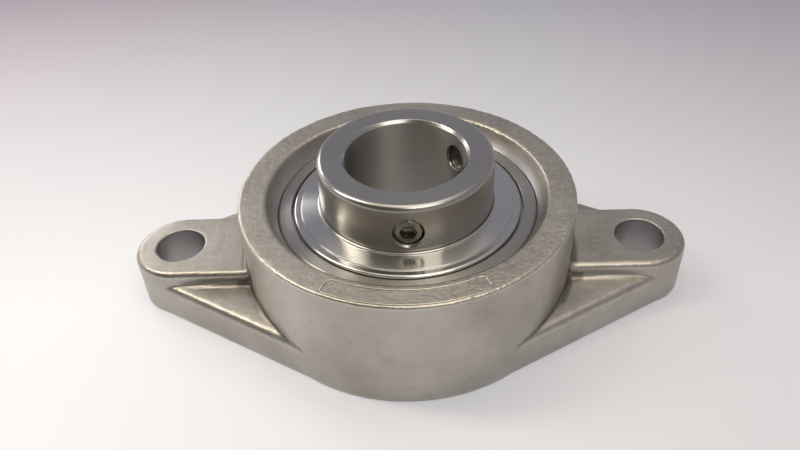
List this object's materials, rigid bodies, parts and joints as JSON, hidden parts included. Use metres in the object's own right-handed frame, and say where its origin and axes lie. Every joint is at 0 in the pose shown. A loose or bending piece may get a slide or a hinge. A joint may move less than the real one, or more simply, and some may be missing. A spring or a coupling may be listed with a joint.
{
  "type": "two-bolt flange bearing",
  "caption": "Oval cast stainless flange housing with a self-aligning ball bearing insert, a through bore locked by set screws, and a bolt hole in each ear.",
  "frame": {"origin": "midway between the two bolt holes, on the mounting face, which is where the shaft axis meets it", "axes": "+X along the line of the bolt holes, +Z along the shaft axis away from the mounting face, +Y towards the grease nipple"},
  "size_m": [0.1552, 0.0986, 0.0444],
  "materials": {
    "cast_stainless": "blasted and tumbled stainless casting, satin, with a machined seat",
    "bearing_steel": "ground and turned stainless bearing steel",
    "ball_steel": "polished",
    "cage_steel": "pressed sheet",
    "shield_steel": "pressed sheet",
    "seal_rubber": "matt moulded nitrile rubber",
    "flinger_steel": "bright spun sheet",
    "screw_steel": "threaded, dull",
    "nipple_steel": "turned stainless"
  },
  "bodies": {
    "housing": {"housing": "cast_stainless", "grease_nipple": "nipple_steel", "nipple_check_ball": "ball_steel"},
    "outer_race": {"outer_ring": "bearing_steel", "upper_seal_shield": "shield_steel", "upper_seal_lip": "seal_rubber", "lower_seal_shield": "shield_steel", "lower_seal_lip": "seal_rubber"},
    "inner_race": {"inner_ring": "bearing_steel", "upper_flinger": "flinger_steel", "lower_flinger": "flinger_steel"},
    "cage": {"cage_upper": "cage_steel", "cage_lower": "cage_steel", "cage_rivets": "cage_steel"},
    "ball_1": {"ball_1": "ball_steel"},
    "ball_2": {"ball_2": "ball_steel"},
    "ball_3": {"ball_3": "ball_steel"},
    "ball_4": {"ball_4": "ball_steel"},
    "ball_5": {"ball_5": "ball_steel"},
    "ball_6": {"ball_6": "ball_steel"},
    "ball_7": {"ball_7": "ball_steel"},
    "ball_8": {"ball_8": "ball_steel"},
    "ball_9": {"ball_9": "ball_steel"},
    "set_screw_front": {"set_screw_front": "screw_steel"},
    "set_screw_side": {"set_screw_side": "screw_steel"}
  },
  "joints": [
    {"name": "align_tilt", "type": "hinge", "parent": "housing", "child": "outer_race", "pos_m": [0, 0, 0.019], "axis": [1, 0, 0], "range_deg": [-2, 2]},
    {"name": "shaft_spin", "type": "hinge", "parent": "outer_race", "child": "inner_race", "pos_m": [0, 0, 0.019], "axis": [0, 0, 1], "continuous": true},
    {"name": "cage_orbit", "type": "hinge", "parent": "outer_race", "child": "cage", "pos_m": [0, 0, 0.019], "axis": [0, 0, 1], "continuous": true},
    {"name": "ball_1_spin", "type": "hinge", "parent": "cage", "child": "ball_1", "pos_m": [0.02674, 0, 0.019], "axis": [0, 0, 1], "continuous": true},
    {"name": "ball_2_spin", "type": "hinge", "parent": "cage", "child": "ball_2", "pos_m": [0.02049, 0.01719, 0.019], "axis": [0, 0, 1], "continuous": true},
    {"name": "ball_3_spin", "type": "hinge", "parent": "cage", "child": "ball_3", "pos_m": [0.00464, 0.02634, 0.019], "axis": [0, 0, 1], "continuous": true},
    {"name": "ball_4_spin", "type": "hinge", "parent": "cage", "child": "ball_4", "pos_m": [-0.01337, 0.02316, 0.019], "axis": [0, 0, 1], "continuous": true},
    {"name": "ball_5_spin", "type": "hinge", "parent": "cage", "child": "ball_5", "pos_m": [-0.02513, 0.00915, 0.019], "axis": [0, 0, 1], "continuous": true},
    {"name": "ball_6_spin", "type": "hinge", "parent": "cage", "child": "ball_6", "pos_m": [-0.02513, -0.00915, 0.019], "axis": [0, 0, 1], "continuous": true},
    {"name": "ball_7_spin", "type": "hinge", "parent": "cage", "child": "ball_7", "pos_m": [-0.01337, -0.02316, 0.019], "axis": [0, 0, 1], "continuous": true},
    {"name": "ball_8_spin", "type": "hinge", "parent": "cage", "child": "ball_8", "pos_m": [0.00464, -0.02634, 0.019], "axis": [0, 0, 1], "continuous": true},
    {"name": "ball_9_spin", "type": "hinge", "parent": "cage", "child": "ball_9", "pos_m": [0.02049, -0.01719, 0.019], "axis": [0, 0, 1], "continuous": true},
    {"name": "set_screw_front_travel", "type": "slide", "parent": "inner_race", "child": "set_screw_front", "axis": [-0.0244, 0.9997, 0], "range_m": [-0.004, 0.001]},
    {"name": "set_screw_side_travel", "type": "slide", "parent": "inner_race", "child": "set_screw_side", "axis": [-0.8536, -0.521, 0], "range_m": [-0.004, 0.001]}
  ],
  "couplings": [
    {"joint": "cage_orbit", "follows": "shaft_spin", "ratio": 0.39613},
    {"joint": "ball_1_spin", "follows": "shaft_spin", "ratio": -2.3029},
    {"joint": "ball_2_spin", "follows": "shaft_spin", "ratio": -2.3029},
    {"joint": "ball_3_spin", "follows": "shaft_spin", "ratio": -2.3029},
    {"joint": "ball_4_spin", "follows": "shaft_spin", "ratio": -2.3029},
    {"joint": "ball_5_spin", "follows": "shaft_spin", "ratio": -2.3029},
    {"joint": "ball_6_spin", "follows": "shaft_spin", "ratio": -2.3029},
    {"joint": "ball_7_spin", "follows": "shaft_spin", "ratio": -2.3029},
    {"joint": "ball_8_spin", "follows": "shaft_spin", "ratio": -2.3029},
    {"joint": "ball_9_spin", "follows": "shaft_spin", "ratio": -2.3029}
  ]
}
